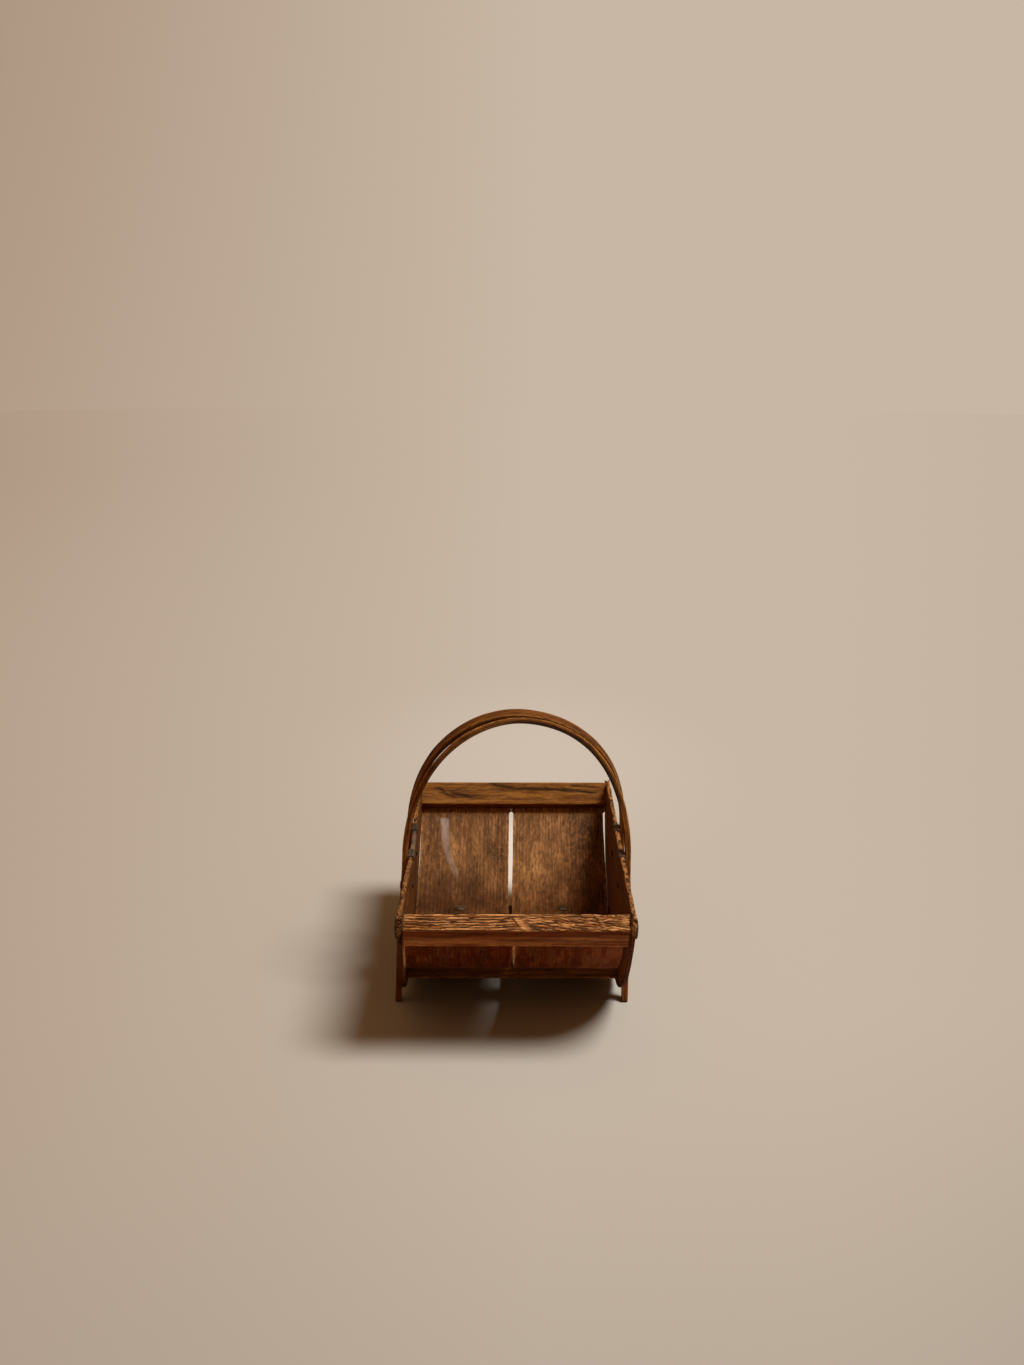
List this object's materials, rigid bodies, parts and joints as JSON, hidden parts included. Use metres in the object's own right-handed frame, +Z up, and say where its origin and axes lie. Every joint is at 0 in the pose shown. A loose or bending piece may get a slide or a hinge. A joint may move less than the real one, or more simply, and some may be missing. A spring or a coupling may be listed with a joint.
{
  "type": "garden trug",
  "caption": "Boat-sided wooden trug: bent plank trough between thin side boards and leaning end rails, on bars, with an arched handle of bentwood hoops that run down as feet.",
  "frame": {"origin": "on the floor below the middle of the trug", "axes": "+Y along the trough towards the back rail, +X to the right across the trough, +Z up"},
  "size_m": [0.2696, 0.5432, 0.3161],
  "materials": {
    "board_wood": "dark stained, worn satin",
    "panel_wood": "dark stained, scuffed satin",
    "hoop_wood": "dark stained, handled satin",
    "clip_metal": "aged, dull",
    "bolt_metal": "blackened, patinated"
  },
  "bodies": {
    "root": {"side_board_left": "board_wood", "side_board_right": "board_wood", "front_rail": "board_wood", "back_rail": "board_wood", "trough_panel_left": "panel_wood", "trough_panel_right": "panel_wood", "bottom_bar_front": "board_wood", "bottom_bar_back": "board_wood", "handle_hoop_front": "hoop_wood", "handle_hoop_back": "hoop_wood", "hoop_clip_front_left": "clip_metal", "hoop_clip_front_right": "clip_metal", "hoop_clip_back_left": "clip_metal", "hoop_clip_back_right": "clip_metal", "hoop_rivet_front_left": "bolt_metal", "hoop_rivet_front_right": "bolt_metal", "hoop_rivet_back_left": "bolt_metal", "hoop_rivet_back_right": "bolt_metal", "rail_bolt_front_left": "bolt_metal", "rail_bolt_front_right": "bolt_metal", "rail_bolt_back_left": "bolt_metal", "rail_bolt_back_right": "bolt_metal", "trough_screw_front_left": "bolt_metal", "trough_screw_front_right": "bolt_metal", "trough_screw_back_left": "bolt_metal", "trough_screw_back_right": "bolt_metal", "bar_screw_front_left": "bolt_metal", "bar_screw_front_right": "bolt_metal", "bar_screw_back_left": "bolt_metal", "bar_screw_back_right": "bolt_metal"}
  },
  "joints": []
}
